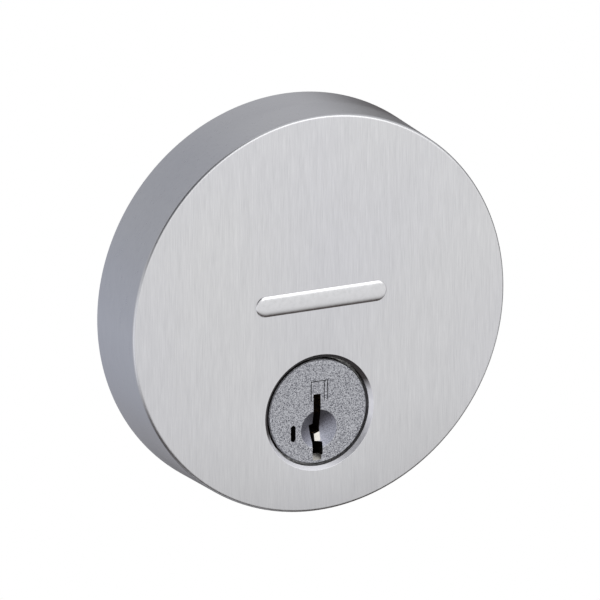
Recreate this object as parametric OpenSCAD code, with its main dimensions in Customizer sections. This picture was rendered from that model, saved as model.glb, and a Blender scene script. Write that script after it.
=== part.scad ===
// Deadbolt lock, outside keyed half: a low-profile round rose with an off-centre, rekeyable key cylinder.
// +Z is up and the front faces -Y. The origin is the centre of the rose's rim, where it meets the door.
// Lengths are millimetres.

/* [Rose] */
// Diameter of the round cover at its face
rose_d = 64; // [61:0.5:78]
// How far the face stands off the door
rose_depth = 12.4; // [12:0.2:15]
// Thickness of the side wall
rose_wall = 2; // [1.6:0.1:2.4]
// Thickness of the front wall
rose_front = 1.6; // [1.2:0.1:1.8]
// How much wider in radius the rim at the door is than the face
rose_flare = 0.3; // [0.1:0.1:0.8]
// Rounding of the front edge
rose_edge_r = 0.5; // [0.2:0.1:0.9]

/* [Key cylinder] */
// Distance of the cylinder's axis below the centre
cylinder_drop = 16; // [15.9:0.1:17]
// Diameter of the plug's visible face
plug_face_d = 16.8; // [16.6:0.1:17.4]
// How far the plug's face sits behind the rose's face
plug_recess = 0.6; // [0.3:0.1:0.8]
// Gap around the plug's face
plug_face_gap = 0.4; // [0.2:0.05:0.4]
// Chamfer around the cylinder's hole
hole_chamfer = 0.55; // [0.3:0.05:0.6]
// Diameter of the plug's core
core_d = 16; // [15.8:0.1:16.2]
// Outside diameter of the fixed barrel
barrel_d = 20; // [19.8:0.1:20.6]
// Width of the keyway's upper slot
keyway_w = 1.23; // [1.1:0.01:1.3]
// Diameter of the conical key dimple
dimple_d = 6.4; // [5:0.1:6.8]

/* [Pins and racks] */
// Distance from one pin to the next
pin_pitch = 3.81; // [3.7:0.01:3.95]
// Distance from the plug's face to the first pin
pin_first = 5.6; // [5.5:0.1:5.8]
// Diameter of the key pins
pin_d = 3; // [2.9:0.05:3.05]
// Highest lift of a pin
pin_lift = 3.6; // [2.4:0.1:3.8]
// Width of a rack
rack_w = 1.9; // [1.7:0.05:2]
// How far the rack carrier slides back
carrier_travel = 1.4; // [1.35:0.05:1.5]
// How far the locking bar moves in
bar_travel = 0.5; // [0.3:0.05:0.55]

/* [Chassis and posts] */
// Thickness of the mounting plate
chassis_thk = 2.5; // [2:0.1:3]
// Gap from the mounting plate to the door
chassis_inset = 1.5; // [1.2:0.1:1.8]
// Distance between the two threaded posts
post_spacing = 38.1; // [36:0.1:44]
// Diameter of a threaded post
post_d = 6; // [5:0.1:7]
// Diameter of a post's tapped hole
post_tap_d = 3.5; // [3:0.1:4]
// How far the posts reach into the door
post_reach = 18; // [12:0.5:24]

/* [Gears and blade] */
// Teeth on each of the two equal gears
gear_teeth = 22; // [20:1:26]
// Thickness of the gears
gear_thk = 2; // [1.6:0.1:2.4]
// Width of the torque blade
blade_w = 5; // [4.4:0.1:5.4]
// Thickness of the torque blade
blade_t = 2; // [1.6:0.1:2.2]
// How far the torque blade reaches past the door's face
blade_reach = 48; // [40:1:50]

/* [Name plate] */
// Length of the blank plate
plate_l = 22.5; // [14:0.5:30]
// Height of the blank plate
plate_h = 3.4; // [2.4:0.1:5]

/* [Hidden] */
$fn = 96;

// Clearances: a running fit, a loose fit, a push-together fit and around the mounting plate
run_gap = 0.05;
free_gap = 0.1;
slip_gap = 0.03;
plate_gap = 0.2;
// Overshoot of a cut past the face that it opens
cut = 1;

// The rose, from the door's face (0) out to the face
rose_r = rose_d / 2;
rose_back_r = rose_r + rose_flare;
rose_in_r = rose_r - rose_wall;
face_y = -rose_depth;
front_in_y = face_y + rose_front;

// Lengths along the cylinder's axis: the plug's head, its front and back walls, the racks and the gear case
head_t = 1.8;
head_lead = 0.15;
core_start = 1;
plug_front_t = 3.5;
plug_back_t = 0.8;
pins = 5;
rack_back = 0.7;
rack_front = rack_w - rack_back;
carrier_wall = 0.86;
gear_plate_t = 0.85;
gear_play = 0.15;
cover_t = 1;

// Stations along the cylinder's axis
plug_face_y = face_y + plug_recess;
head_back_y = plug_face_y + head_t;
barrel_front_y = front_in_y + plate_gap;
counterbore_y = head_back_y + free_gap;
pocket_front_y = plug_face_y + plug_front_t;
pin_y0 = plug_face_y + pin_first;
carrier_front_y = pocket_front_y + free_gap;
carrier_back_y = pin_y0 + (pins - 1) * pin_pitch + rack_back + carrier_wall;
pocket_back_y = carrier_back_y + carrier_travel + free_gap;
core_back_y = pocket_back_y + plug_back_t;
barrel_back_y = core_back_y + run_gap;
gear_y0 = barrel_back_y + gear_plate_t + free_gap;
gear_y1 = gear_y0 + gear_thk;
cover_in_y = gear_y1 + gear_play;
cover_out_y = cover_in_y + cover_t;

// Radii about the cylinder's axis
plug_face_r = plug_face_d / 2;
hole_r = plug_face_r + plug_face_gap;
core_r = core_d / 2;
bore_r = core_r + run_gap;
barrel_r = barrel_d / 2;
collar_w = 1.4;
boss_w = 2.3;

// Pins, racks and springs, in x (across) and v (up from the cylinder's axis)
pin_r = pin_d / 2;
pin_x = -0.1;
pin_tip_v = -2.4;
pin_top_v = 1.8;
pin_bore_r = pin_r + run_gap;
groove_pitch = 0.6;
grooves = 5;
groove_v0 = -1.2;
groove_depth = 0.3;
groove_h = 0.34;
pin_tip_r = 0.6;
pin_tip_h = 0.7;
rack_t = 1.45;
rack_pin_gap = 0.15;
tooth_reach = 0.24;
tooth_half_l = 0.45;
flat_reach = 0.32;
flat_x = pin_x - pin_r + flat_reach;
rack_x1 = pin_x - pin_r - rack_pin_gap;
rack_x0 = rack_x1 - rack_t;
tooth_x = pin_x - pin_r + tooth_reach;
rack_v0 = -4.6;
rack_v1 = 1.6;
spring_space = 1.8;
cap_v = pin_top_v + pin_lift + spring_space;
cap_ledge = 0.3;
cap_end = 2.1;
cap_x1 = pin_x + pin_bore_r + cap_ledge;

// Locking bar
bar_half_h = 1;
blade_half_h = 0.4;
bar_edge_x = rack_x0 - run_gap;
bar_root_x = -5;
bar_tip_x = -core_r + 0.08;
bar_end_front = 0.8;
bar_end_back = 0.5;
bar_y0 = pocket_front_y - bar_end_front;
bar_y1 = pocket_back_y + bar_end_back;
bar_bevel = 0.95;
bar_groove_deep = 0.7;
bar_groove_half_h = 1.9;
groove_tip_x = -bore_r - bar_groove_deep;
bar_spring_ys = [bar_y0 + 0.35, bar_y1 - 0.15];
bar_spring_l = 1.8;

// Keyway, as offsets from the plug's axis
key_x1 = 0.5;
key_x0 = key_x1 - keyway_w;
key_top_v = 2.8;
key_floor_v = -7.1;
key_floor_x = [-0.92, 0.84];
ward_x = -0.44;
bulge_front = 1.45;
bulge_back = 1.08;
bulge_wall = 0.9;
ramp_l = 1;
ramp_drop = 0.8;
ramp_x = -0.85;
ramp_w = 1.45;
// The block above the keyway, in its window, and the hardened pins on both sides of the front wall
guide_lo = [-1.2, 1.8];
guide_hi = [1.78, 4.95];
guide_depth = 1;
guide_gap = 0.14;
guide_line_x = 1.05;
guide_line_w = 0.14;
guide_line_deep = 0.4;
drill_pin_vs = [3.7, -3.6];
drill_pin_x = 1.6;
drill_pin_r = 0.75;
drill_pin_y = pocket_front_y - 0.6;
// Key dimple and reset-tool slot on the plug's face
dimple_at = [0.18, -2.9];
dimple_deep = 0.7;
reset_at = [-4.25, -3.08];
reset_size = [2.63, 0.84];

// Chassis: its plate and boss, the cylinder's clip, and the screws in the rose's pillars
plate_r = rose_in_r - plate_gap;
chassis_y0 = -chassis_inset - chassis_thk;
chassis_y1 = -chassis_inset;
boss_h = 3.5;
boss_y0 = chassis_y0 - boss_h;
barrel_flat = 0.8;
barrel_flat_x = barrel_r - barrel_flat;
collar_t = 1.2;
clip_t = 0.7;
clip_deep = 0.7;
clip_w = 2;
clip_mouth = 8;
clip_y1 = boss_y0 - run_gap;
clip_y0 = clip_y1 - clip_t;
clip_root_r = barrel_r - clip_deep;
screw_edge = 4.3;
screw_ring_r = rose_in_r - screw_edge;
screw_angles = [90, 205, 335];
screw_r = 1.2;
screw_head_r = 2.4;
screw_head_h = 1.15;
pillar_r = 2.7;
post_flange_w = 1.5;
post_flange_t = 1.2;

// Gears: two equal wheels whose centre distance is the cylinder's drop
gear_m = cylinder_drop / gear_teeth;
gear_tip_r = cylinder_drop / 2 + gear_m;
gear_root_r = cylinder_drop / 2 - 1.2 * gear_m;
tooth_half = [0.30, 0.235, 0.10];
case_wall = 0.6;
case_r = gear_tip_r + case_wall + 0.3;
tail_r = 4;
tail_flat = 3.3;
tail_end_y = gear_y1 + run_gap;
tail_groove_r = 3.1;
gear_clip_t = 0.5;
gear_clip_y = gear_y1 - gear_clip_t - 0.22;
gear_clip_r = 5.3;
hub_r = 3.4;
hub_lead = 0.6;
hub_back = 1;
hub_groove = 0.45;
hub_clip_w = 1.3;
hub_front_y = barrel_back_y - hub_lead;
hub_back_y = cover_out_y + hub_back;
case_screw_x = 7.6;
case_screw_r = 0.9;
case_screw_l = 4;
case_screw_head_r = 1.7;
case_screw_head_h = 1;
blade_start_y = hub_front_y + free_gap;
blade_taper_l = 3;
blade_taper_h = 1.2;

// ---- helpers -------------------------------------------------------------------------------------

// A box between two corners
module block(a, b) {
    translate(a) cube(b - a);
}

// A rod along +Y
module rod_y(y0, y1, r, x = 0, v = 0) {
    translate([x, y0, v]) rotate([-90, 0, 0]) cylinder(h = y1 - y0, r = r);
}

// A cone along +Y
module cone_y(y0, y1, r0, r1, x = 0, v = 0) {
    translate([x, y0, v]) rotate([-90, 0, 0]) cylinder(h = y1 - y0, r1 = r0, r2 = r1);
}

// An outline in x and v, drawn out along +Y
module prism_y(y0, y1) {
    translate([0, y1, 0]) rotate([90, 0, 0]) linear_extrude(y1 - y0) children();
}

// Moves a piece to the cylinder's axis
module on_cylinder() {
    translate([0, 0, -cylinder_drop]) children();
}

// A cross-shaped driver slot in a screw's head, open at y
module cross_slot(y, deep, half_l, half_w) {
    for (a = [0, 90]) rotate([0, a, 0]) block([-half_l, y - deep, -half_w], [half_l, y + cut, half_w]);
}

// A slot with round ends, in x and v
module stadium(l, h) {
    square([l - h, h], center = true);
    for (s = [-1, 1]) translate([s * (l - h) / 2, 0]) circle(d = h);
}

// Station of a pin along Y
function pin_y(i) = pin_y0 + i * pin_pitch;

// A round wire coil that stands up along +Z, from z = 0 to z = h over its outside
module coil(h, r, wire_r, turns, steps = 12, sides = 6) {
    n = turns * steps;
    rise = h - 2 * wire_r;
    points = [for (i = [0:n]) let (a = 360 * i / steps, z = wire_r + rise * i / n)
        for (j = [0:sides - 1]) let (b = 360 * j / sides, q = r + wire_r * cos(b))
            [q * cos(a), q * sin(a), z + wire_r * sin(b)]];
    skin = [for (i = [0:n - 1]) for (j = [0:sides - 1]) let (k = (j + 1) % sides)
        [i * sides + j, (i + 1) * sides + j, (i + 1) * sides + k, i * sides + k]];
    ends = [[for (j = [0:sides - 1]) j], [for (j = [sides - 1:-1:0]) n * sides + j]];
    polyhedron(points, concat(skin, ends));
}

// ---- the rose ------------------------------------------------------------------------------------

module rose_outline() {
    polygon([[0, 0], [rose_back_r, 0], [rose_r, rose_depth - rose_edge_r],
             [rose_r - rose_edge_r, rose_depth], [0, rose_depth]]);
    translate([rose_r - rose_edge_r, rose_depth - rose_edge_r]) circle(r = rose_edge_r, $fn = 48);
}

module screw_spots() {
    for (a = screw_angles) rotate([0, -a, 0]) translate([screw_ring_r, 0, 0]) children();
}

module rose_cover() {
    color([0.80, 0.80, 0.79]) difference() {
        union() {
            difference() {
                rotate([90, 0, 0]) rotate_extrude() rose_outline();
                rod_y(front_in_y, cut, rose_in_r);
            }
            screw_spots() rod_y(front_in_y - 0.5, chassis_y0, pillar_r);
        }
        on_cylinder() {
            rod_y(face_y - cut, front_in_y + cut, hole_r);
            cone_y(face_y - cut, face_y + hole_chamfer, hole_r + hole_chamfer + cut, hole_r);
        }
        screw_spots() rod_y(front_in_y + 0.6, chassis_y0 + cut, screw_r + run_gap);
    }
}

// A blank plate with round ends, a little proud of the face
module name_plate() {
    plate_proud = 0.35;
    plate_at = [0.3, 0, 2.4];
    color([0.86, 0.86, 0.86]) translate(plate_at)
        prism_y(face_y - plate_proud, face_y) stadium(plate_l, plate_h);
}

// ---- chassis -------------------------------------------------------------------------------------

module barrel_outline(r, flat) {
    intersection() {
        circle(r = r);
        translate([-2 * r, -r]) square([2 * r + flat, 2 * r]);
    }
}

module post_spots() {
    for (s = [-1, 1]) translate([s * post_spacing / 2, 0, 0]) children();
}

module chassis() {
    color([0.62, 0.62, 0.60]) difference() {
        union() {
            rod_y(chassis_y0, chassis_y1, plate_r);
            intersection() {
                on_cylinder() rod_y(boss_y0, chassis_y1, barrel_r + boss_w);
                rod_y(boss_y0 - cut, chassis_y1 + cut, plate_r);
            }
        }
        on_cylinder() prism_y(boss_y0 - cut, chassis_y1 + cut)
            barrel_outline(barrel_r + run_gap, barrel_flat_x + free_gap);
        post_spots() rod_y(chassis_y0 - cut, chassis_y1 + cut, post_d / 2 + slip_gap);
        screw_spots() {
            rod_y(chassis_y0 - cut, chassis_y1 + cut, screw_r + free_gap);
            cone_y(chassis_y1 - screw_head_h - run_gap, chassis_y1 + 0.02,
                   screw_r + free_gap, screw_head_r + free_gap);
        }
    }
}

module chassis_screws() {
    color([0.70, 0.70, 0.66]) screw_spots() difference() {
        union() {
            rod_y(front_in_y + 1, chassis_y1 - screw_head_h + run_gap, screw_r);
            cone_y(chassis_y1 - screw_head_h, chassis_y1, screw_r, screw_head_r);
        }
        cross_slot(chassis_y1, 0.7, 1.6, 0.25);
    }
}

module threaded_posts() {
    color([0.74, 0.73, 0.66]) post_spots() difference() {
        union() {
            rod_y(chassis_y0 - post_flange_t, chassis_y0, post_d / 2 + post_flange_w);
            rod_y(chassis_y0 - 0.1, post_reach, post_d / 2);
        }
        rod_y(chassis_y0 + 1, post_reach + cut, post_tap_d / 2);
        cone_y(post_reach - 0.5, post_reach + 0.01, post_tap_d / 2, post_tap_d / 2 + 0.5);
    }
}

// ---- cylinder ------------------------------------------------------------------------------------

module case_screw_spots() {
    for (s = [-1, 1]) translate([s * case_screw_x, 0, cylinder_drop / 2]) children();
}

module cylinder_body() {
    color([0.60, 0.60, 0.59]) on_cylinder() difference() {
        union() {
            rod_y(barrel_front_y, barrel_back_y, barrel_r);
            rod_y(chassis_y1, chassis_y1 + collar_t, barrel_r + collar_w);
            case_screw_spots() rod_y(barrel_back_y - case_screw_l - 2, barrel_back_y, 2.2);
        }
        block([barrel_flat_x, barrel_front_y - cut, -barrel_r], [barrel_r + cut, chassis_y1, barrel_r]);
        rod_y(barrel_front_y - cut, barrel_back_y + cut, bore_r);
        rod_y(barrel_front_y - cut, counterbore_y, plug_face_r + free_gap);
        prism_y(bar_y0 - 0.3, bar_y1 + 0.3) polygon([
            [-core_r + 1, -bar_groove_half_h], [groove_tip_x, -0.15],
            [groove_tip_x, 0.15], [-core_r + 1, bar_groove_half_h]
        ]);
        case_screw_spots() rod_y(barrel_back_y - case_screw_l - 0.5, barrel_back_y + cut,
                                 case_screw_r + run_gap);
        difference() {
            rod_y(clip_y0 - run_gap, boss_y0, barrel_r + cut);
            rod_y(clip_y0 - cut, boss_y0 + cut, clip_root_r);
        }
    }
}

// A flat spring clip, open on one side
module clip_outline(inner, outer, mouth) {
    difference() {
        circle(r = outer);
        circle(r = inner);
        translate([-mouth / 2, -2 * outer]) square([mouth, 2 * outer]);
    }
}

module cylinder_clip() {
    color([0.45, 0.46, 0.50]) on_cylinder() prism_y(clip_y0, clip_y1) rotate(180)
        clip_outline(clip_root_r + run_gap, clip_root_r + clip_w, clip_mouth);
}

// The keyway's outline. side is how far the left side bulges out.
module keyway_outline(side) {
    polygon([
        [key_x1, key_top_v], [key_x1, -3.5], [ward_x, -3.75], [ward_x, -4.8],
        [key_floor_x[1], -5.05], [key_floor_x[1], key_floor_v], [key_floor_x[0], key_floor_v],
        [key_floor_x[0], -5.05], [-side, -2.15], [key_x0, -2], [key_x0, key_top_v]
    ]);
}

// The sloped entry at the keyway's foot
module keyway_ramp() {
    translate([ramp_x, plug_face_y, key_floor_v]) rotate([90, 0, 90]) linear_extrude(ramp_w)
        polygon([[-cut, 0.1], [-cut, -ramp_drop], [0, -ramp_drop], [ramp_l, 0], [ramp_l, 0.1]]);
}

module plug_body() {
    wall_y = pocket_front_y - bulge_wall;
    color([0.72, 0.73, 0.76]) on_cylinder() difference() {
        union() {
            rod_y(plug_face_y + head_lead, head_back_y, plug_face_r);
            cone_y(plug_face_y, plug_face_y + head_lead, plug_face_r - head_lead, plug_face_r);
            rod_y(plug_face_y + core_start, core_back_y, core_r);
            intersection() {
                rod_y(core_back_y - 0.1, tail_end_y, tail_r);
                block([-tail_flat, core_back_y - cut, -tail_r], [tail_flat, tail_end_y + cut, tail_r]);
            }
        }
        // keyway, with its wider mouth in the front wall
        prism_y(plug_face_y - cut, wall_y) keyway_outline(bulge_front);
        prism_y(wall_y - 0.1, pocket_back_y - 0.6) keyway_outline(bulge_back);
        keyway_ramp();
        // window for the guide block, key dimple and reset-tool slot
        block([guide_lo[0], plug_face_y - cut, guide_lo[1]],
              [guide_hi[0], plug_face_y + guide_depth, guide_hi[1]]);
        cone_y(plug_face_y - 0.01, plug_face_y + dimple_deep, dimple_d / 2, 0.01,
               dimple_at[0], dimple_at[1]);
        prism_y(plug_face_y - cut, pocket_front_y + 0.1) translate(reset_at) rotate(90)
            stadium(reset_size[0], reset_size[1]);
        // pin bores, open at the top, and the seat of the strip that closes them
        for (i = [0:pins - 1]) translate([pin_x, pin_y(i), pin_tip_v - 0.1])
            cylinder(h = core_r + 3, r = pin_bore_r);
        block([flat_x - cut, pin_y(0) - cap_end, cap_v],
              [cap_x1 + slip_gap, pin_y(pins - 1) + cap_end, core_r + cut]);
        // pocket for the racks and their carrier
        block([-core_r - cut, pocket_front_y, -core_r - cut], [flat_x, pocket_back_y, core_r + cut]);
        // seats for the ends of the locking bar and for its springs
        for (y = [[bar_y0 - free_gap, pocket_front_y + 0.1], [pocket_back_y - 0.1, bar_y1 + free_gap]])
            block([-core_r - cut, y[0], -bar_half_h - run_gap],
                  [bar_root_x + bar_travel + free_gap, y[1], bar_half_h + run_gap]);
        for (y = bar_spring_ys) translate([bar_root_x, y, 0])
            rotate([0, 90, 0]) cylinder(h = bar_spring_l + free_gap, r = 0.36, $fn = 24);
        // cross bores for the hardened pins
        for (v = drill_pin_vs) translate([drill_pin_x - free_gap, drill_pin_y, v]) rotate([0, 90, 0])
            cylinder(h = core_r, r = drill_pin_r + run_gap, $fn = 32);
        // groove for the drive gear's clip
        difference() {
            rod_y(gear_clip_y - slip_gap, gear_clip_y + gear_clip_t + slip_gap, tail_r + cut);
            rod_y(gear_y1 - 1, gear_y1, tail_groove_r);
        }
    }
}

module keyway_guide() {
    color([0.66, 0.66, 0.68]) on_cylinder() difference() {
        block([guide_lo[0] + guide_gap, plug_face_y + 0.02, guide_lo[1] + 0.01],
              [guide_hi[0] - guide_gap, plug_face_y + guide_depth, guide_hi[1] - guide_gap]);
        block([guide_line_x, plug_face_y - cut, guide_lo[1] - cut],
              [guide_line_x + guide_line_w, plug_face_y + guide_line_deep, guide_hi[1] + cut]);
        block([key_x0, plug_face_y - cut, guide_lo[1] - cut],
              [key_x1, plug_face_y + guide_depth + cut, key_top_v]);
    }
}

module pin_cap() {
    color([0.75, 0.75, 0.72]) on_cylinder() intersection() {
        rod_y(pin_y(0) - cap_end, pin_y(pins - 1) + cap_end, core_r - 0.02);
        block([flat_x, pin_y(0) - cap_end + slip_gap, cap_v],
              [cap_x1, pin_y(pins - 1) + cap_end - slip_gap, core_r + cut]);
    }
}

// A grooved pin with a blunt cone at its lower end
module key_pin(i) {
    color([0.82, 0.72, 0.45]) on_cylinder() translate([pin_x, pin_y(i), 0]) difference() {
        union() {
            translate([0, 0, pin_tip_v]) cylinder(h = pin_tip_h, r1 = pin_tip_r, r2 = pin_r);
            translate([0, 0, pin_tip_v + pin_tip_h])
                cylinder(h = pin_top_v - pin_tip_v - pin_tip_h, r = pin_r);
        }
        for (k = [0:grooves - 1]) translate([0, 0, groove_v0 + k * groove_pitch - groove_h / 2])
            difference() {
                cylinder(h = groove_h, r = pin_r + cut);
                translate([0, 0, -cut]) cylinder(h = groove_h + 2 * cut, r = pin_r - groove_depth);
            }
    }
}

module pin_spring(i) {
    color([0.70, 0.72, 0.75]) on_cylinder() translate([pin_x, pin_y(i), pin_top_v])
        coil(cap_v - pin_top_v, pin_r - 0.4, 0.13, 6);
}

// A flat rack: teeth on the pin's side, one deep notch and shallow false ones on the bar's side
module rack(i) {
    tooth_h = groove_h - 0.08;
    notch_h = 2 * blade_half_h + 0.2;
    false_notch_vs = [-1.6, -2.8];
    false_notch = 0.15;
    color([0.83, 0.74, 0.48]) on_cylinder() translate([0, pin_y(i), 0]) difference() {
        union() {
            block([rack_x0, -rack_front, rack_v0], [rack_x1, rack_back, rack_v1]);
            for (k = [0:grooves - 1]) translate([0, 0, groove_v0 + k * groove_pitch])
                block([rack_x1 - 0.1, -tooth_half_l, -tooth_h / 2], [tooth_x, tooth_half_l, tooth_h / 2]);
        }
        block([rack_x0 - cut, -rack_front - cut, -notch_h / 2],
              [rack_x0 + bar_travel + 0.1, rack_back + cut, notch_h / 2]);
        for (v = false_notch_vs) translate([0, 0, v])
            block([rack_x0 - cut, -rack_front - cut, -notch_h / 2],
                  [rack_x0 + false_notch, rack_back + cut, notch_h / 2]);
    }
}

carrier_spring_at = [-4.9, 3.9];
carrier_spring_l = 6;
carrier_spring_r = 0.6;

module rack_carrier() {
    color([0.60, 0.61, 0.64]) on_cylinder() difference() {
        intersection() {
            rod_y(carrier_front_y, carrier_back_y, core_r - 0.15);
            block([-core_r, carrier_front_y, -core_r], [rack_x1 + 0.05, carrier_back_y, core_r]);
        }
        for (i = [0:pins - 1]) translate([0, pin_y(i), 0])
            block([rack_x0 - free_gap, -rack_front - run_gap, rack_v0 - 0.2],
                  [0, rack_back + run_gap, rack_v1 + pin_lift + 0.2]);
        block([-core_r - cut, carrier_front_y - cut, -bar_half_h - run_gap],
              [bar_root_x + bar_travel + free_gap, carrier_back_y + cut, bar_half_h + run_gap]);
        block([bar_root_x - cut, carrier_front_y - cut, -blade_half_h - run_gap],
              [bar_edge_x + bar_travel + free_gap, carrier_back_y + cut, blade_half_h + run_gap]);
        rod_y(pocket_back_y - carrier_spring_l, carrier_back_y + cut, carrier_spring_r + 0.25,
              carrier_spring_at[0], carrier_spring_at[1]);
    }
}

module carrier_spring() {
    color([0.70, 0.72, 0.75]) on_cylinder()
        translate([carrier_spring_at[0], pocket_back_y - carrier_spring_l, carrier_spring_at[1]])
            rotate([-90, 0, 0]) coil(carrier_spring_l, carrier_spring_r, 0.11, 9, 12, 5);
}

module locking_bar() {
    blade_y0 = pin_y(0) - rack_front - 0.1;
    blade_y1 = pin_y(pins - 1) + rack_back + 0.1;
    color([0.56, 0.57, 0.60]) on_cylinder() {
        prism_y(bar_y0, bar_y1) polygon([
            [bar_root_x, -bar_half_h], [-core_r + bar_bevel, -bar_half_h], [bar_tip_x, -0.1],
            [bar_tip_x, 0.1], [-core_r + bar_bevel, bar_half_h], [bar_root_x, bar_half_h]
        ]);
        block([bar_root_x - 0.2, blade_y0, -blade_half_h], [bar_edge_x, blade_y1, blade_half_h]);
    }
}

module locking_bar_springs() {
    color([0.70, 0.72, 0.75]) on_cylinder() for (y = bar_spring_ys)
        translate([bar_root_x, y, 0]) rotate([0, 90, 0]) coil(bar_spring_l, 0.22, 0.07, 5, 10, 5);
}

module anti_drill_pins() {
    color([0.35, 0.35, 0.37]) on_cylinder() for (v = drill_pin_vs)
        translate([drill_pin_x, drill_pin_y, v]) rotate([0, 90, 0])
            cylinder(h = sqrt(core_r * core_r - v * v) - drill_pin_x - 0.5, r = drill_pin_r, $fn = 32);
}

// ---- gears ---------------------------------------------------------------------------------------

// A gear's outline: a root circle with tapered teeth, turned by start degrees
module gear_outline(start) {
    step = 2 * PI / gear_teeth;
    root = tooth_half[0] * step * gear_root_r;
    middle = tooth_half[1] * step * cylinder_drop / 2;
    tip = tooth_half[2] * step * gear_tip_r;
    circle(r = gear_root_r);
    for (k = [0:gear_teeth - 1]) rotate(start + k * 360 / gear_teeth) polygon([
        [gear_root_r - 0.3, -root], [cylinder_drop / 2, -middle], [gear_tip_r, -tip],
        [gear_tip_r, tip], [cylinder_drop / 2, middle], [gear_root_r - 0.3, root]
    ]);
}

// The two round ends of the gear case, joined
module case_outline(r) {
    for (v = [0, -cylinder_drop]) translate([0, v]) circle(r = r);
    translate([-r, -cylinder_drop]) square([2 * r, cylinder_drop]);
}

module tail_outline(gap) {
    intersection() {
        circle(r = tail_r + gap);
        square([2 * (tail_flat + gap), 3 * tail_r], center = true);
    }
}

module gear_plate() {
    color([0.66, 0.66, 0.64]) difference() {
        prism_y(barrel_back_y, barrel_back_y + gear_plate_t) case_outline(case_r);
        rod_y(barrel_back_y - cut, gear_y0, hub_r + run_gap);
        on_cylinder() {
            rod_y(barrel_back_y - cut, gear_y0, tail_r + free_gap);
            case_screw_spots() rod_y(barrel_back_y - cut, gear_y0, case_screw_r + free_gap);
        }
    }
}

module drive_gear() {
    color([0.80, 0.70, 0.44]) on_cylinder() difference() {
        prism_y(gear_y0, gear_y1) gear_outline(90);
        prism_y(gear_y0 - cut, gear_y1 + cut) tail_outline(slip_gap);
        rod_y(gear_clip_y - 0.08, gear_y1 + cut, gear_clip_r + 0.3);
    }
}

module drive_gear_clip() {
    color([0.45, 0.46, 0.50]) on_cylinder() prism_y(gear_clip_y, gear_clip_y + gear_clip_t)
        clip_outline(tail_groove_r + run_gap, gear_clip_r, 4.6);
}

module output_gear() {
    color([0.80, 0.70, 0.44]) difference() {
        union() {
            prism_y(gear_y0, gear_y1) gear_outline(-90 + 180 / gear_teeth);
            rod_y(hub_front_y, hub_back_y, hub_r);
        }
        block([-blade_t / 2 - slip_gap, hub_front_y - cut, -blade_w / 2 - slip_gap],
              [blade_t / 2 + slip_gap, hub_back_y + cut, blade_w / 2 + slip_gap]);
        difference() {
            rod_y(cover_out_y + 0.1, cover_out_y + 0.6, hub_r + cut);
            rod_y(cover_out_y, cover_out_y + 0.7, hub_r - hub_groove);
        }
    }
}

module output_gear_clip() {
    color([0.45, 0.46, 0.50]) prism_y(cover_out_y + 0.12, cover_out_y + 0.57)
        clip_outline(hub_r - hub_groove + run_gap, hub_r + hub_clip_w, 3.6);
}

module gear_cover() {
    color([0.66, 0.66, 0.64]) difference() {
        union() {
            difference() {
                prism_y(barrel_back_y + gear_plate_t, cover_out_y) case_outline(case_r);
                prism_y(barrel_back_y, cover_in_y) case_outline(case_r - case_wall);
            }
            on_cylinder() case_screw_spots() rod_y(barrel_back_y + gear_plate_t, cover_out_y, 1.9);
        }
        rod_y(cover_in_y - cut, cover_out_y + cut, hub_r + run_gap);
        on_cylinder() case_screw_spots() rod_y(barrel_back_y, cover_out_y + cut, case_screw_r + free_gap);
    }
}

module gear_case_screws() {
    color([0.70, 0.70, 0.66]) on_cylinder() case_screw_spots() difference() {
        union() {
            rod_y(barrel_back_y - case_screw_l, cover_out_y + 0.1, case_screw_r);
            rod_y(cover_out_y, cover_out_y + case_screw_head_h, case_screw_head_r);
        }
        cross_slot(cover_out_y + case_screw_head_h, 0.5, 1.1, 0.2);
    }
}

// A flat blade with a tapered end
module torque_blade() {
    half = blade_w / 2;
    color([0.68, 0.69, 0.70]) translate([-blade_t / 2, 0, 0]) rotate([90, 0, 90])
        linear_extrude(blade_t) polygon([
            [blade_start_y, -half], [blade_reach - blade_taper_l, -half],
            [blade_reach, -half + blade_taper_h], [blade_reach, half - blade_taper_h],
            [blade_reach - blade_taper_l, half], [blade_start_y, half]
        ]);
}

rose_cover();
name_plate();
chassis();
chassis_screws();
threaded_posts();
cylinder_body();
cylinder_clip();
plug_body();
keyway_guide();
pin_cap();
key_pin(0);  // key_pin_1
key_pin(1);  // key_pin_2
key_pin(2);  // key_pin_3
key_pin(3);  // key_pin_4
key_pin(4);  // key_pin_5
pin_spring(0);  // pin_spring_1
pin_spring(1);  // pin_spring_2
pin_spring(2);  // pin_spring_3
pin_spring(3);  // pin_spring_4
pin_spring(4);  // pin_spring_5
rack(0);  // rack_1
rack(1);  // rack_2
rack(2);  // rack_3
rack(3);  // rack_4
rack(4);  // rack_5
rack_carrier();
carrier_spring();
locking_bar();
locking_bar_springs();
anti_drill_pins();
gear_plate();
drive_gear();
drive_gear_clip();
output_gear();
output_gear_clip();
gear_cover();
gear_case_screws();
torque_blade();
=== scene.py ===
"""Deadbolt lock, outside keyed half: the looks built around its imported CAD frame.

Coordinates are metres in the frame's own axes: +Z up, the front faces -Y and the door's face is y = 0.
Sizes that are written here are millimetres times MM; the rest comes from the frame's boxes.
"""

import math

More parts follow.
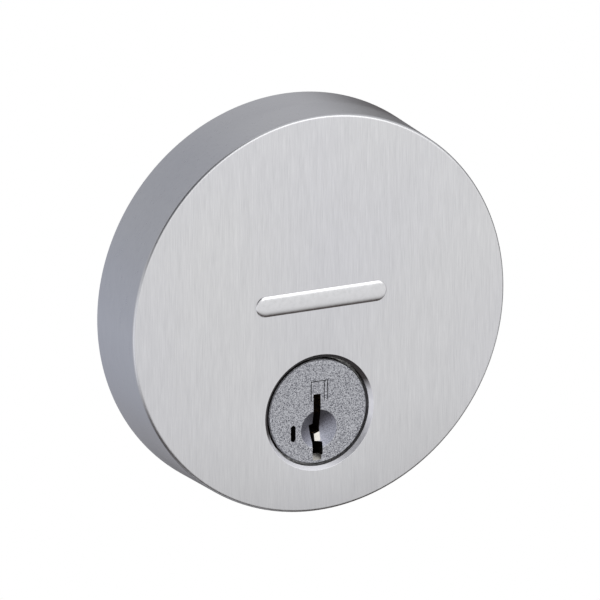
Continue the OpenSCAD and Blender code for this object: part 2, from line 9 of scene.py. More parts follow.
import bmesh
import bpy
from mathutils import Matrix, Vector


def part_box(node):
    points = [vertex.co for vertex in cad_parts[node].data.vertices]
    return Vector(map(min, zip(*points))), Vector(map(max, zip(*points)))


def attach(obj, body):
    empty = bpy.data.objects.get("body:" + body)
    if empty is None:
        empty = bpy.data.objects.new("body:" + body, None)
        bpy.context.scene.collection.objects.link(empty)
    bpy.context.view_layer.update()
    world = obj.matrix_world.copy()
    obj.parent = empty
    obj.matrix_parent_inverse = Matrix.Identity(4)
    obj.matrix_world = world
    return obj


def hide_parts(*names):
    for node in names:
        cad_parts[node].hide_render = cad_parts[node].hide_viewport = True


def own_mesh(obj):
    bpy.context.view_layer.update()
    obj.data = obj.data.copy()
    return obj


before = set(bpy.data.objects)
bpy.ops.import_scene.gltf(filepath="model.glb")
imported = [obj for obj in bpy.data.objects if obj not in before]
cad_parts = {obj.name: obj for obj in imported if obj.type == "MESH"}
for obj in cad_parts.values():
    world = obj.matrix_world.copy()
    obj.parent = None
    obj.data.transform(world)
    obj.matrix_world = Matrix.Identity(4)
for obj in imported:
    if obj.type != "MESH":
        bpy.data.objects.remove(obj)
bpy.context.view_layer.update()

MM = 0.001
TAU = 2 * math.pi

# ---- measures taken from the frame -----------------------------------------------------------------

ROSE_LO, ROSE_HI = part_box("rose_cover")
PLUG_LO, PLUG_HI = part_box("plug_body")
PLATE_LO, PLATE_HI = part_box("name_plate")
GUIDE_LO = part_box("keyway_guide")[0]

FACE_Y = ROSE_LO.y
RIM_R = (ROSE_HI.x - ROSE_LO.x) / 2
PLUG_FACE_Y = PLUG_LO.y
PLUG_FACE_R = (PLUG_HI.x - PLUG_LO.x) / 2
PLUG_Z = (PLUG_LO.z + PLUG_HI.z) / 2

# Sizes of the rose that its box doesn't give
FLARE = 0.3 * MM
EDGE_R = 0.5 * MM
WALL = 2.0 * MM
FRONT = 1.6 * MM
HOLE_GAP = 0.4 * MM
CHAMFER = 0.55 * MM
LIP_R = 0.07 * MM
FACE_R = RIM_R - FLARE
HOLE_R = PLUG_FACE_R + HOLE_GAP
PILLAR_ANGLES, PILLAR_RING, PILLAR_R, PILLAR_HOLE_R = (90, 205, 335), 25.7 * MM, 2.7 * MM, 1.25 * MM
PILLAR_END = -4.0 * MM


# ---- node helpers ----------------------------------------------------------------------------------

def new_material(name):
    """A material with an empty Principled shader; returns (material, nodes, links, shader)."""
    mat = bpy.data.materials.new(name)
    mat.use_nodes = True
    nodes, links = mat.node_tree.nodes, mat.node_tree.links
    return mat, nodes, links, nodes["Principled BSDF"]


def stretched_noise(nodes, links, scale, detail=6.0, roughness=0.6, seed=0.0):
    """Noise in object space, in cycles per metre along x, y and z."""
    coords = nodes.new("ShaderNodeTexCoord")
    mapping = nodes.new("ShaderNodeMapping")
    mapping.inputs["Scale"].default_value = scale
    mapping.inputs["Location"].default_value = (seed, seed * 0.7, seed * 1.3)
    noise = nodes.new("ShaderNodeTexNoise")
    noise.inputs["Scale"].default_value = 1.0
    noise.inputs["Detail"].default_value = detail
    noise.inputs["Roughness"].default_value = roughness
    links.new(coords.outputs["Object"], mapping.inputs["Vector"])
    links.new(mapping.outputs["Vector"], noise.inputs["Vector"])
    return noise.outputs["Fac"]


def ramp(nodes, links, value, stops):
    """A colour ramp; stops are (position, grey or colour)."""
    node = nodes.new("ShaderNodeValToRGB")
    while len(node.color_ramp.elements) < len(stops):
        node.color_ramp.elements.new(0.5)
    for element, (place, colour) in zip(node.color_ramp.elements, stops):
        element.position = place
        element.color = (*colour, 1) if isinstance(colour, tuple) else (colour, colour, colour, 1)
    links.new(value, node.inputs["Fac"])
    return node.outputs["Color"]


def span(nodes, links, value, low, high, start=0.3, end=0.7):
    """Maps a noise value from start..end to low..high."""
    node = nodes.new("ShaderNodeMapRange")
    node.inputs["From Min"].default_value = start
    node.inputs["From Max"].default_value = end
    node.inputs["To Min"].default_value = low
    node.inputs["To Max"].default_value = high
    links.new(value, node.inputs["Value"])
    return node.outputs["Result"]


def add_bump(nodes, links, shader, height, distance):
    """Bumps the shader's normal by height, which runs 0 to 1 over distance metres."""
    node = nodes.new("ShaderNodeBump")
    node.inputs["Strength"].default_value = 1.0
    node.inputs["Distance"].default_value = distance
    links.new(height, node.inputs["Height"])
    links.new(node.outputs["Normal"], shader.inputs["Normal"])


def math_node(nodes, links, operation, one, two=None):
    """One arithmetic step on links or plain numbers."""
    node = nodes.new("ShaderNodeMath")
    node.operation = operation
    for socket, value in zip(node.inputs, (one, two)):
        if isinstance(value, (int, float)):
            socket.default_value = value
        elif value is not None:
            links.new(value, socket)
    return node.outputs["Value"]


def within_box(nodes, links, lo, hi):
    """1 where the object-space position lies inside the box between lo and hi, else 0."""
    coords = nodes.new("ShaderNodeTexCoord")
    split = nodes.new("ShaderNodeSeparateXYZ")
    links.new(coords.outputs["Object"], split.inputs["Vector"])
    result = 1.0
    for axis, low, high in zip("XYZ", lo, hi):
        for operation, bound in (("GREATER_THAN", low), ("LESS_THAN", high)):
            test = math_node(nodes, links, operation, split.outputs[axis], bound)
            result = math_node(nodes, links, "MULTIPLY", test, result)
    return result


def along(nodes, links, direction, centre_z=0.0):
    """Distance in metres along a direction in the (x, z) plane, from a point on x = 0."""
    coords = nodes.new("ShaderNodeTexCoord")
    move = nodes.new("ShaderNodeVectorMath")
    move.operation = "SUBTRACT"
    move.inputs[1].default_value = (0, 0, centre_z)
    links.new(coords.outputs["Object"], move.inputs[0])
    dot = nodes.new("ShaderNodeVectorMath")
    dot.operation = "DOT_PRODUCT"
    dot.inputs[1].default_value = (math.cos(direction), 0, math.sin(direction))
    links.new(move.outputs["Vector"], dot.inputs[0])
    return dot.outputs["Value"]


def mix_shaders(nodes, links, factor, under, over):
    """Shows the over shader where factor is 1."""
    node = nodes.new("ShaderNodeMixShader")
    links.new(factor, node.inputs["Fac"])
    links.new(under, node.inputs[1])
    links.new(over, node.inputs[2])
    return node.outputs["Shader"]


# ---- materials -------------------------------------------------------------------------------------

def brushed_nickel(name, light, dark, roughness, bump, shade_by_height, streaks=(6200, 6200, 230)):
    """Satin plate with fine upright brush lines and clouds, with painted shade by height: the last list is a
    tone ramp from foot (0) to top (1).
    """
    mat, nodes, links, shader = new_material(name)
    fine = stretched_noise(nodes, links, streaks, detail=8, roughness=0.72)
    broad = stretched_noise(nodes, links, (1500, 1500, 120), detail=4, roughness=0.5, seed=3.1)
    cloud = stretched_noise(nodes, links, (28, 28, 22), detail=2, roughness=0.4, seed=7.7)
    mix = nodes.new("ShaderNodeMix")
    mix.data_type = "FLOAT"
    mix.inputs["Factor"].default_value = 0.2
    links.new(fine, mix.inputs["A"])
    links.new(broad, mix.inputs["B"])
    streak = mix.outputs["Result"]
    tint = ramp(nodes, links, streak, [(0.34, dark), (0.66, light)])
    cloudy = nodes.new("ShaderNodeMix")
    cloudy.data_type = "RGBA"
    cloudy.blend_type = "MULTIPLY"
    cloudy.inputs["Factor"].default_value = 1.0
    shade = ramp(nodes, links, cloud, [(0.35, (0.965, 0.965, 0.985)), (0.65, (1.0, 1.0, 0.998))])
    links.new(tint, cloudy.inputs["A"])
    links.new(shade, cloudy.inputs["B"])
    # painted shade: the colour is multiplied by a tone ramp over height, from the plate's foot to its top
    level = span(nodes, links, along(nodes, links, math.radians(90)), 0.0, 1.0, -RIM_R, RIM_R)
    height_shaded = nodes.new("ShaderNodeMix")
    height_shaded.data_type = "RGBA"
    height_shaded.blend_type = "MULTIPLY"
    height_shaded.inputs["Factor"].default_value = 1.0
    links.new(cloudy.outputs["Result"], height_shaded.inputs["A"])
    links.new(ramp(nodes, links, level, shade_by_height), height_shaded.inputs["B"])
    links.new(height_shaded.outputs["Result"], shader.inputs["Base Color"])
    links.new(span(nodes, links, streak, roughness - 0.05, roughness + 0.07), shader.inputs["Roughness"])
    shader.inputs["Metallic"].default_value = 1.0
    shader.inputs["Anisotropic"].default_value = 0.4
    add_bump(nodes, links, shader, streak, bump)
    return mat


def polished_nickel(name, colour, roughness):
    """Bright plate with faint wear."""
    mat, nodes, links, shader = new_material(name)
    wear = stretched_noise(nodes, links, (1400, 1400, 1400), detail=5)
    links.new(ramp(nodes, links, wear, [(0.3, tuple(0.93 * c for c in colour)), (0.6, colour)]),
              shader.inputs["Base Color"])
    links.new(span(nodes, links, wear, roughness, roughness + 0.07), shader.inputs["Roughness"])
    shader.inputs["Metallic"].default_value = 1.0
    add_bump(nodes, links, shader, wear, 0.002 * MM)
    return mat


def cast_shader(nodes, links, shader, light, dark, grain, roughness, bump):
    """Sets a shader up as a fine cast skin whose grains catch the light one by one."""
    grains = stretched_noise(nodes, links, (grain,) * 3, detail=2, roughness=0.55)
    specks = stretched_noise(nodes, links, (grain * 0.5,) * 3, detail=2, roughness=0.5, seed=5.3)
    mix = nodes.new("ShaderNodeMix")
    mix.data_type = "FLOAT"
    mix.inputs["Factor"].default_value = 0.25
    links.new(grains, mix.inputs["A"])
    links.new(specks, mix.inputs["B"])
    grit = mix.outputs["Result"]
    middle = tuple(0.62 * c + 0.38 * d for c, d in zip(light, dark))
    tone = ramp(nodes, links, grit, [(0.38, dark), (0.50, middle), (0.64, light)])
    links.new(tone, shader.inputs["Base Color"])
    links.new(span(nodes, links, grit, roughness + 0.1, roughness - 0.08), shader.inputs["Roughness"])
    shader.inputs["Metallic"].default_value = 1.0
    add_bump(nodes, links, shader, grit, bump * MM)


def cast_metal(name, light, dark, grain=2200, roughness=0.5, bump=0.03):
    """A material that is cast skin all over."""
    mat, nodes, links, shader = new_material(name)
    cast_shader(nodes, links, shader, light, dark, grain, roughness, bump)
    return mat


def machined_metal(name, colour, roughness, lines=(2600, 2600, 2600)):
    """Turned or rolled metal, with fine lines across the given axes."""
    mat, nodes, links, shader = new_material(name)
    marks = stretched_noise(nodes, links, lines, detail=6)
    stain = stretched_noise(nodes, links, (160, 160, 160), detail=3, seed=2.2)
    tint = ramp(nodes, links, stain, [(0.3, tuple(0.82 * c for c in colour)), (0.7, colour)])
    links.new(tint, shader.inputs["Base Color"])
    links.new(span(nodes, links, marks, roughness - 0.08, roughness + 0.12), shader.inputs["Roughness"])
    shader.inputs["Metallic"].default_value = 1.0
    add_bump(nodes, links, shader, marks, 0.006 * MM)
    return mat


# the lists of stops are painted shade by height: the face darkens towards its foot, the wall towards its top
# and its foot
FACE_NICKEL_SHADED = brushed_nickel("nickel_face", (0.720, 0.720, 0.726), (0.575, 0.576, 0.585), 0.34, 0.0030 * MM,
                             [(0.0, 0.84), (0.12, 0.90), (0.26, 0.965), (1.0, 1.0)])
# the wall's nickel is a darker copy of the face's nickel, with coarser brush lines: painted shade on the
# rose's side wall
WALL_NICKEL_SHADED = brushed_nickel("nickel_wall", (0.580, 0.585, 0.600), (0.530, 0.535, 0.550), 0.30, 0.0008 * MM,
                             [(0.0, 0.74), (0.22, 0.84), (0.50, 1.0), (0.68, 0.92), (1.0, 0.84)],
                             streaks=(1800, 1800, 220))
PLATE_FINISH = polished_nickel("plate_polished", (0.66, 0.66, 0.67), 0.16)
CAST_ZINC = cast_metal("cast_zinc", (0.42, 0.42, 0.41), (0.24, 0.24, 0.24))
BRASS = machined_metal("brass", (0.72, 0.52, 0.24), 0.26)
STEEL = machined_metal("plated_steel", (0.62, 0.61, 0.57), 0.28)
BLADE_STEEL = machined_metal("rolled_steel", (0.50, 0.51, 0.52), 0.34, (900, 60, 2600))
SPRING_STEEL = machined_metal("spring_steel", (0.40, 0.41, 0.44), 0.25)
HARD_STEEL = machined_metal("hardened_steel", (0.16, 0.16, 0.17), 0.3)


GRAIN_LIGHT, GRAIN_DARK = (0.58, 0.59, 0.62), (0.06, 0.06, 0.08)
GRAIN = 7600

# The key dimple, from the plug's axis, and the depths at which the plug's finishes change
DIMPLE_X, DIMPLE_DROP, DIMPLE_R, DIMPLE_REACH = 0.18 * MM, 2.9 * MM, 3.2 * MM, 3.3 * MM
DIMPLE_DEEP = 0.75 * MM
HEAD_DEEP, KEYWAY_DEEP, WARD_DEEP = 0.3 * MM, 0.5 * MM, 1.2 * MM
CORE_REACH = 8.3 * MM
KEYWAY_X, KEYWAY_Z = (-0.80 * MM, 0.53 * MM), (-3.45 * MM, 3.0 * MM)
BRIGHT_WARDS = [((-0.50, -4.88), (0.56, -3.48)), ((-0.90, -8.0), (0.66, -7.05))]
FACE_SKIN, FAR = 0.02 * MM, 100 * MM


def plain_metal(nodes, links, colour, roughness, seed):
    """A second shader for a material: smooth cut metal with faint tool marks."""
    shader = nodes.new("ShaderNodeBsdfPrincipled")
    marks = stretched_noise(nodes, links, (2600, 900, 2600), detail=4, seed=seed)
    links.new(ramp(nodes, links, marks, [(0.3, tuple(0.8 * c for c in colour)), (0.7, colour)]),
              shader.inputs["Base Color"])
    links.new(span(nodes, links, marks, roughness - 0.06, roughness + 0.1), shader.inputs["Roughness"])
    shader.inputs["Metallic"].default_value = 1.0
    add_bump(nodes, links, shader, marks, 0.005 * MM)
    return shader.outputs["BSDF"]


def dimple_metal(nodes, links):
    """The dimple's cone: grainy, with painted shade over its top and a painted highlight towards its lower
    right.
    """
    shader = nodes.new("ShaderNodeBsdfPrincipled")
    grains = stretched_noise(nodes, links, (GRAIN,) * 3, detail=2, roughness=0.5, seed=9.2)
    # painted shade and painted highlight: the colour runs from dark at the cone's top to pale at its lower
    # right
    side = along(nodes, links, math.radians(-62), PLUG_Z - DIMPLE_DROP)
    place = span(nodes, links, side, 0.0, 1.0, -DIMPLE_R, DIMPLE_R)
    tone = ramp(nodes, links, place, [(0.30, (0.12, 0.12, 0.14)), (0.47, (0.21, 0.21, 0.25)),
                                      (0.75, (0.36, 0.37, 0.43))])
    mottle = ramp(nodes, links, grains, [(0.36, 0.55), (0.62, 1.0)])
    mix = nodes.new("ShaderNodeMix")
    mix.data_type = "RGBA"
    mix.blend_type = "MULTIPLY"
    mix.inputs["Factor"].default_value = 1.0
    links.new(tone, mix.inputs["A"])
    links.new(mottle, mix.inputs["B"])
    links.new(mix.outputs["Result"], shader.inputs["Base Color"])
    shader.inputs["Roughness"].default_value = 0.32
    shader.inputs["Metallic"].default_value = 1.0
    add_bump(nodes, links, shader, grains, 0.01 * MM)
    return shader.outputs["BSDF"]


def make_plug_metal():
    """The plug: cast grain on its face, smooth metal in the dimple, bright cut wards, and painted shade:
    near-black metal deep inside.
    """
    mat, nodes, links, shader = new_material("plug_metal")
    cast_shader(nodes, links, shader, GRAIN_LIGHT, GRAIN_DARK, GRAIN, 0.36, 0.05)
    result = shader.outputs["BSDF"]
    front = PLUG_FACE_Y + FACE_SKIN
    inside = plain_metal(nodes, links, (0.06, 0.05, 0.045), 0.5, 1.0)
    dimple = dimple_metal(nodes, links)
    ward = plain_metal(nodes, links, (0.62, 0.60, 0.56), 0.3, 3.0)
    # painted shade: everything behind the face, inside the head's rim, is near-black metal
    deep = within_box(nodes, links, (-CORE_REACH, PLUG_FACE_Y + HEAD_DEEP, PLUG_Z - CORE_REACH),
                      (CORE_REACH, FAR, PLUG_Z + CORE_REACH))
    result = mix_shaders(nodes, links, deep, result, inside)
    dimple_z = PLUG_Z - DIMPLE_DROP
    cone = within_box(nodes, links, (DIMPLE_X - DIMPLE_REACH, front, dimple_z - DIMPLE_REACH),
                      (DIMPLE_X + DIMPLE_REACH, PLUG_FACE_Y + DIMPLE_DEEP, dimple_z + DIMPLE_REACH))
    result = mix_shaders(nodes, links, cone, result, dimple)
    # painted shade: the keyway's own walls are near-black metal from just behind the face
    hole = within_box(nodes, links, (KEYWAY_X[0], PLUG_FACE_Y + KEYWAY_DEEP, PLUG_Z + KEYWAY_Z[0]),
                      (KEYWAY_X[1], FAR, PLUG_Z + KEYWAY_Z[1]))
    result = mix_shaders(nodes, links, hole, result, inside)
    for lo, hi in BRIGHT_WARDS:
        bright = within_box(nodes, links, (lo[0] * MM, front, PLUG_Z + lo[1] * MM),
                            (hi[0] * MM, PLUG_FACE_Y + WARD_DEEP, PLUG_Z + hi[1] * MM))
        result = mix_shaders(nodes, links, bright, result, ward)
    links.new(result, nodes["Material Output"].inputs["Surface"])
    return mat


PLUG_METAL = make_plug_metal()


def make_guide_metal():
    """The guide block: the same cast grain on its face, plain darker metal on its sides."""
    mat, nodes, links, shader = new_material("guide_metal")
    cast_shader(nodes, links, shader, GRAIN_LIGHT, GRAIN_DARK, GRAIN, 0.36, 0.05)
    side = plain_metal(nodes, links, (0.16, 0.15, 0.16), 0.4, 4.0)
    behind = within_box(nodes, links, (-FAR, GUIDE_LO.y + 2 * FACE_SKIN, -FAR), (FAR, FAR, FAR))
    result = mix_shaders(nodes, links, behind, shader.outputs["BSDF"], side)
    links.new(result, nodes["Material Output"].inputs["Surface"])
    return mat


GUIDE_METAL = make_guide_metal()


def make_chamfer_metal():
    """The hole's polished chamfer, with a painted reflection: dark over its upper side, pale below."""
    mat, nodes, links, shader = new_material("chamfer_metal")
    wear = stretched_noise(nodes, links, (900, 900, 900), detail=4, seed=6.1)
    # painted reflection: dark over the hole's upper side, pale below, set by direction around the hole
    side = along(nodes, links, math.radians(112), PLUG_Z)
    place = span(nodes, links, side, 0.0, 1.0, -HOLE_R, HOLE_R)
    tone = ramp(nodes, links, place, [(0.44, (0.74, 0.74, 0.77)), (0.56, (0.11, 0.10, 0.10)),
                                      (0.95, (0.07, 0.065, 0.065))])
    links.new(tone, shader.inputs["Base Color"])
    links.new(span(nodes, links, wear, 0.44, 0.54), shader.inputs["Roughness"])
    shader.inputs["Metallic"].default_value = 1.0
    add_bump(nodes, links, shader, wear, 0.002 * MM)
    return mat


CHAMFER_METAL = make_chamfer_metal()


# ---- mesh helpers ----------------------------------------------------------------------------------

def mesh_object(name, vertices, faces, materials):
    """A mesh object at the origin, with outward normals."""
    mesh = bpy.data.meshes.new(name)
    mesh.from_pydata([tuple(v) for v in vertices], [], faces)
    work = bmesh.new()
    work.from_mesh(mesh)
    bmesh.ops.remove_doubles(work, verts=work.verts, dist=1e-7)
    bmesh.ops.recalc_face_normals(work, faces=work.faces)
    work.to_mesh(mesh)
    work.free()
    obj = bpy.data.objects.new(name, mesh)
    bpy.context.collection.objects.link(obj)
    for mat in materials:
        mesh.materials.append(mat)
    return obj


def lathe(name, profile, materials, centre=(0.0, 0.0), steps=256):
    """Turns a profile of (radius, y), whose ends lie on the axis, about Y through centre (x, z)."""
    rings, vertices = [], []
    for radius, y in profile:
        if radius < 1e-9:
            rings.append([len(vertices)] * steps)
            vertices.append((centre[0], y, centre[1]))
        else:
            start = len(vertices)
            rings.append([start + k for k in range(steps)])
            vertices += [(centre[0] + radius * math.cos(TAU * k / steps), y,
                          centre[1] + radius * math.sin(TAU * k / steps)) for k in range(steps)]
    faces = []
    for one, two in zip(rings, rings[1:]):
        for k in range(steps):
            corners = [one[k], one[(k + 1) % steps], two[(k + 1) % steps], two[k]]
            faces.append(list(dict.fromkeys(corners)))
    return mesh_object(name, vertices, faces, materials)


def arc(cx, cy, radius, start, end, steps):
    """Points of an arc in two dimensions, from start to end degrees."""
    angles = [math.radians(start + (end - start) * k / steps) for k in range(steps + 1)]
    return [(cx + radius * math.cos(a), cy + radius * math.sin(a)) for a in angles]


def stadium(cx, cz, length, height, steps):
    """A slot's outline with round ends, longer along x."""
    half = (length - height) / 2
    points = arc(half, 0, height / 2, -90, 90, steps) + arc(-half, 0, height / 2, 90, 270, steps)
    return [(cx + x, cz + z) for x, z in points]


def cut(obj, tool, operation="DIFFERENCE"):
    """Applies a boolean with tool, then deletes tool."""
    mod = obj.modifiers.new("cut", "BOOLEAN")
    mod.operation, mod.object, mod.solver = operation, tool, "EXACT"
    apply_modifiers(obj)
    bpy.data.objects.remove(tool)


def apply_modifiers(obj):
    """Replaces the mesh with its evaluated shape."""
    graph = bpy.context.evaluated_depsgraph_get()
    mesh = bpy.data.meshes.new_from_object(obj.evaluated_get(graph))
    obj.modifiers.clear()
    obj.data = mesh


def smooth(obj, angle=30):
    """Smooth shading, with edges sharper than angle kept crisp."""
    mesh = obj.data
    mesh.shade_smooth()
    mesh.set_sharp_from_angle(angle=math.radians(angle))


def paint(obj, choose):
    """Gives each face the material index that choose(centre, normal) returns."""
    for face in obj.data.polygons:
        face.material_index = choose(face.center, face.normal)


def finish_piece(obj, body, slot, *nodes):
    """Hands a piece to its body, in place of CAD nodes; its slot is not used."""
    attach(obj, body)
    if nodes:
        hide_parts(*nodes)
    return obj


# ---- the rose --------------------------------------------------------------------------------------

def chamfer_profile():
    """The tool that cuts the cylinder's hole, with a flat chamfer whose outer edge is slightly rounded."""
    over = 2 * MM
    outer = HOLE_R + CHAMFER
    lip = arc(outer + LIP_R * 0.4, FACE_Y + LIP_R, LIP_R, 270, 225, 5)
    return [(0, FACE_Y - over), (lip[0][0], FACE_Y - over)] + lip + [
        (HOLE_R, FACE_Y + CHAMFER), (HOLE_R, FACE_Y + FRONT + over), (0, FACE_Y + FRONT + over)]


def make_rose():
    """The cover: one lathe-turned shell with an off-centre cylinder hole."""
    edge = arc(FACE_R - EDGE_R, FACE_Y + EDGE_R, EDGE_R, 270, 360, 10)
    inner_r = FACE_R - WALL
    rim = 0.25 * MM
    profile = [(0, FACE_Y)] + edge + [
        (RIM_R, -rim), (RIM_R - rim, 0), (inner_r + rim, 0), (inner_r, -rim),
        (inner_r, FACE_Y + FRONT), (0, FACE_Y + FRONT)]
    rose = lathe("rose", profile, [FACE_NICKEL_SHADED, WALL_NICKEL_SHADED, CHAMFER_METAL, CAST_ZINC])
    tool = lathe("hole_tool", chamfer_profile(), [CHAMFER_METAL], (0, PLUG_Z), 192)
    cut(rose, tool)
    for angle in PILLAR_ANGLES:
        spot = (PILLAR_RING * math.cos(math.radians(angle)), PILLAR_RING * math.sin(math.radians(angle)))
        start = FACE_Y + FRONT - 0.5 * MM
        hole_start = FACE_Y + FRONT + 0.6 * MM
        over = 1 * MM
        pillar = lathe("pillar", [(0, start), (PILLAR_R, start), (PILLAR_R, PILLAR_END), (0, PILLAR_END)],
                       [CAST_ZINC], spot, 48)
        cut(rose, pillar, "UNION")
        cut(rose, lathe("pillar_hole", [(0, hole_start), (PILLAR_HOLE_R, hole_start),
                                        (PILLAR_HOLE_R, PILLAR_END + over), (0, PILLAR_END + over)],
                        [CAST_ZINC], spot, 32))

    def choose(centre, normal):
        off_axis = math.hypot(centre.x, centre.z - PLUG_Z)
        outward = math.hypot(centre.x, centre.z)
        if off_axis < HOLE_R + CHAMFER * 1.02 and centre.y < FACE_Y + FRONT - 1e-6:
            return 2
        if outward < inner_r + 1e-5 and centre.y > FACE_Y + 1e-5:
            return 3
        return 0 if normal.y < -0.92 else 1

    paint(rose, choose)
    smooth(rose, 25)
    return finish_piece(rose, "housing", "satin_nickel", "rose_cover")


def make_name_plate():
    """A plain slim plate with round ends, domed across its height and smoothly rounded at its edge."""
    cx, cz = (PLATE_LO.x + PLATE_HI.x) / 2, (PLATE_LO.z + PLATE_HI.z) / 2
    length, height = PLATE_HI.x - PLATE_LO.x, PLATE_HI.z - PLATE_LO.z
    proud = FACE_Y - PLATE_LO.y
    steps, sunk = 14, 0.05 * MM
    rings, vertices = [], []
    for k in range(steps + 1):
        angle = math.pi / 2 * k / steps
        half = height / 2 * max(math.cos(angle), 0.02)
        y = FACE_Y - proud * math.sin(angle) ** 0.8
        ring = stadium(cx, cz, length - height + 2 * half, 2 * half, 24)
        rings.append([len(vertices) + i for i in range(len(ring))])
        vertices += [(x, y, z) for x, z in ring]
    base = [(x, FACE_Y + sunk, z) for x, _, z in vertices[:len(rings[0])]]
    rings.insert(0, [len(vertices) + i for i in range(len(base))])
    vertices += base
    n = len(base)
    faces = [[one[i], one[(i + 1) % n], two[(i + 1) % n], two[i]]
             for one, two in zip(rings, rings[1:]) for i in range(n)]
    faces += [list(reversed(rings[0])), rings[-1]]
    plate = mesh_object("blank_plate", vertices, faces, [PLATE_FINISH])
    smooth(plate, 60)
    return finish_piece(plate, "housing", "polished_trim", "name_plate")


def coil_points(radius, wire, turns, length):
    """Centre line of a coil spring along +Z, as (x, y, z); its first and last turns lie almost flat."""
    per_turn, flat = 22, 0.9
    count = int(turns * per_turn)
    free = length - 2 * wire
    low = 2 * wire * flat
    points = []
    for k in range(count + 1):
        turn = turns * k / count
        if turn < flat:
            z = low * turn / flat
        elif turn > turns - flat:
            z = free - low * (turns - turn) / flat
        else:
            z = low + (free - 2 * low) * (turn - flat) / (turns - 2 * flat)
        points.append((radius * math.cos(TAU * turn), radius * math.sin(TAU * turn), wire + z))
    return points


def spring(name, starts, axis, length, radius, wire, turns, nodes):
    """Coil springs that stand on starts along axis."""
    sides = 8
    turned = Vector((0, 0, 1)).rotation_difference(axis)
    line = [Vector(p) for p in coil_points(radius, wire, turns, length)]
    vertices, faces = [], []
    for start in starts:
        first = len(vertices)
        for k, point in enumerate(line):
            ahead = (line[min(k + 1, len(line) - 1)] - line[max(k - 1, 0)]).normalized()
            out = Vector((point.x, point.y, 0)).normalized()
            out = (out - ahead * out.dot(ahead)).normalized()
            over = ahead.cross(out)
            for j in range(sides):
                angle = TAU * j / sides
                local = point + wire * (math.cos(angle) * out + math.sin(angle) * over)
                vertices.append(Vector(start) + turned @ local)
        for k in range(len(line) - 1):
            one, two = first + k * sides, first + (k + 1) * sides
            faces += [[one + j, one + (j + 1) % sides, two + (j + 1) % sides, two + j]
                      for j in range(sides)]
        faces.append([first + j for j in range(sides)])
        faces.append([len(vertices) - sides + j for j in range(sides)])
    piece = mesh_object(name, vertices, faces, [SPRING_STEEL])
    smooth(piece, 60)
    finish_piece(piece, "plug", "spring_steel", *nodes)
    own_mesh(piece)


def make_springs():
    """The pins', the carrier's and the locking bar's springs."""
    up, back, inward = Vector((0, 0, 1)), Vector((0, 1, 0)), Vector((1, 0, 0))
    first_pin_y, pitch, pin_x = -6.2 * MM, 3.81 * MM, -0.1 * MM
    low, high, lift = 1.8 * MM, 7.2 * MM, 3.6 * MM
    for i in range(5):
        y = first_pin_y + pitch * i
        spring(f"pin_coil_{i + 1}", [(pin_x, y, PLUG_Z + low)], up, high - low, 1.1 * MM, 0.13 * MM, 6,
               [f"pin_spring_{i + 1}"])
    carrier = (-4.9 * MM, 6.1 * MM, PLUG_Z + 3.9 * MM)
    long, travel = 6.0 * MM, 1.4 * MM
    spring("carrier_coil", [carrier], back, long, 0.6 * MM, 0.11 * MM, 9, ["carrier_spring"])
    edge, short, push = -5.0 * MM, 1.8 * MM, 0.5 * MM
    starts = [(edge, y * MM, PLUG_Z) for y in (-8.75, 12.45)]
    spring("bar_coils", starts, inward, short, 0.22 * MM, 0.07 * MM, 5,
           ["locking_bar_springs"])


make_rose()
make_name_plate()
make_springs()


# ---- CAD nodes that keep their shape ---------------------------------------------------------------

NODE_FINISH = {
    "chassis": CAST_ZINC, "gear_plate": CAST_ZINC, "gear_cover": CAST_ZINC, "rack_carrier": CAST_ZINC,
    "locking_bar": CAST_ZINC, "chassis_screws": STEEL, "gear_case_screws": STEEL, "threaded_posts": STEEL,
    "pin_cap": STEEL, "cylinder_body": CAST_ZINC, "drive_gear": BRASS, "output_gear": BRASS,
    "cylinder_clip": SPRING_STEEL, "drive_gear_clip": SPRING_STEEL, "output_gear_clip": SPRING_STEEL,
    "anti_drill_pins": HARD_STEEL,
    "torque_blade": BLADE_STEEL, "plug_body": PLUG_METAL, "keyway_guide": GUIDE_METAL,
    **{f"key_pin_{i}": BRASS for i in range(1, 6)},
    **{f"rack_{i}": BRASS for i in range(1, 6)},
}
for node, finish in NODE_FINISH.items():
    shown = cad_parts[node]
    for k in range(len(shown.material_slots)):
        shown.material_slots[k].material = finish


# ---- camera, light and floor -----------------------------------------------------------------------

AZIMUTH, ELEVATION = math.radians(-26.3), math.radians(17.4)
CAMERA_AWAY = 3.6
FRAME_WIDTH = 0.0930
AIM_RIGHT, AIM_UP = 0.00247, -0.00120


def make_camera():
    """A long lens from the upper left, almost parallel."""
    back = Vector((math.sin(AZIMUTH) * math.cos(ELEVATION), -math.cos(AZIMUTH) * math.cos(ELEVATION),
                   math.sin(ELEVATION)))
    right = Vector((math.cos(AZIMUTH), math.sin(AZIMUTH), 0))
    up = back.cross(right)
    data = bpy.data.cameras.new("camera")
    data.sensor_width = 36
    data.lens = data.sensor_width * CAMERA_AWAY / FRAME_WIDTH
    data.clip_start, data.clip_end = 0.1, 100
    camera = bpy.data.objects.new("camera", data)
    bpy.context.collection.objects.link(camera)
    camera.location = right * AIM_RIGHT + up * AIM_UP + back * CAMERA_AWAY
    camera.rotation_mode = "QUATERNION"
    camera.rotation_quaternion = (-back).to_track_quat("-Z", "Y")
    bpy.context.scene.camera = camera


def soft_box(name, direction, away, size, power):
    """An area light that faces the object from a direction."""
    data = bpy.data.lights.new(name, "AREA")
    data.shape, data.size, data.size_y = "RECTANGLE", size[0], size[1]
    data.energy = power
    light = bpy.data.objects.new(name, data)
    bpy.context.collection.objects.link(light)
    way = Vector(direction).normalized()
    light.location = way * away
    light.rotation_mode = "QUATERNION"
    light.rotation_quaternion = (-way).to_track_quat("-Z", "Y")


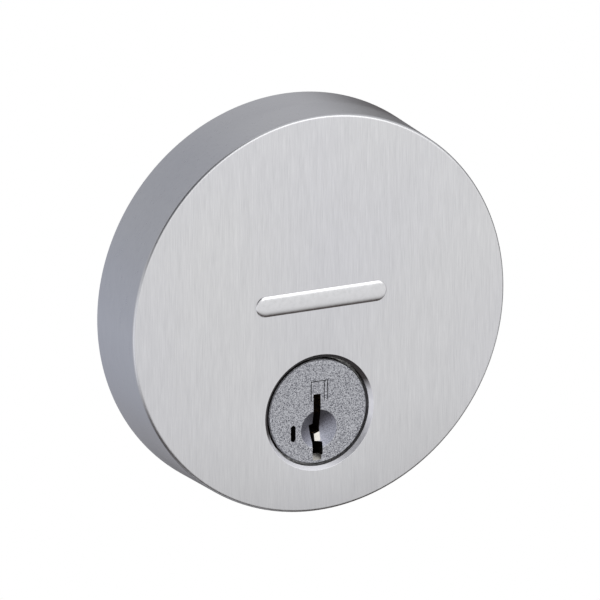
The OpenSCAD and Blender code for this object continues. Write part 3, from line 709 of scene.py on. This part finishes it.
# Patches of the studio: direction, the degrees off it at which each stops being full and ends, brightness
PATCHES = [
    ((0, 1, 0.1), 45, 95, (0.63, 0.64, 0.68)),
    ((0.5, 0.78, 0.38), 14, 44, (0.76, 0.76, 0.78)),
    ((-0.45, 0.85, -0.35), 14, 40, (0.59, 0.61, 0.68)),
    ((0.3, 0.855, -0.50), 10, 34, (0.50, 0.50, 0.53)),
    ((-0.60, -0.45, 0.66), 22, 42, (0.12, 0.12, 0.13)),
    ((0.80, 0.48, -0.33), 26, 50, (0.10, 0.09, 0.09)),
    ((0.05, -0.1, -1), 38, 60, (0.10, 0.085, 0.08)),
    ((-0.855, -0.42, -0.30), 13, 22, (1.35, 1.36, 1.42)),
]


def make_world():
    """A pale studio with soft panels, and plain white where the camera looks past the object."""
    world = bpy.data.worlds.new("studio")
    bpy.context.scene.world = world
    world.use_nodes = True
    nodes, links = world.node_tree.nodes, world.node_tree.links
    nodes.clear()
    coords = nodes.new("ShaderNodeTexCoord")
    colour = None
    for direction, full, end, tone in PATCHES:
        dot = nodes.new("ShaderNodeVectorMath")
        dot.operation = "DOT_PRODUCT"
        dot.inputs[1].default_value = Vector(direction).normalized()
        links.new(coords.outputs["Generated"], dot.inputs[0])
        amount = nodes.new("ShaderNodeMapRange")
        amount.interpolation_type = "SMOOTHSTEP"
        amount.inputs["From Min"].default_value = math.cos(math.radians(end))
        amount.inputs["From Max"].default_value = math.cos(math.radians(full))
        links.new(dot.outputs["Value"], amount.inputs["Value"])
        mix = nodes.new("ShaderNodeMix")
        mix.data_type = "RGBA"
        links.new(amount.outputs["Result"], mix.inputs["Factor"])
        if colour is None:
            mix.inputs["A"].default_value = (1.0, 1.0, 1.01, 1)
        else:
            links.new(colour, mix.inputs["A"])
        mix.inputs["B"].default_value = (*tone, 1)
        colour = mix.outputs["Result"]
    soft = nodes.new("ShaderNodeBackground")
    links.new(colour, soft.inputs["Color"])
    plain = nodes.new("ShaderNodeBackground")
    plain.inputs["Color"].default_value = (1, 1, 1, 1)
    path = nodes.new("ShaderNodeLightPath")
    choose = nodes.new("ShaderNodeMixShader")
    links.new(path.outputs["Is Camera Ray"], choose.inputs["Fac"])
    links.new(soft.outputs["Background"], choose.inputs[1])
    links.new(plain.outputs["Background"], choose.inputs[2])
    out = nodes.new("ShaderNodeOutputWorld")
    links.new(choose.outputs["Shader"], out.inputs["Surface"])


def make_floor():
    """A plain pale floor, well below the lock, which a door holds up."""
    half, depth = 0.4, -1.2
    floor = mesh_object("floor", [(-half, -half, depth), (half, -half, depth), (half, half, depth),
                                  (-half, half, depth)], [[0, 1, 2, 3]], [])
    mat, nodes, links, shader = new_material("floor_paint")
    tone = stretched_noise(nodes, links, (9, 9, 9), detail=3)
    links.new(ramp(nodes, links, tone, [(0.3, 0.90), (0.7, 0.94)]), shader.inputs["Base Color"])
    shader.inputs["Roughness"].default_value = 0.8
    floor.data.materials.append(mat)


make_camera()
make_world()
make_floor()
soft_box("front_box", (0.5, -1, 0.5), 1.2, (0.9, 0.9), 3)
bpy.context.scene.view_settings.view_transform = "Standard"
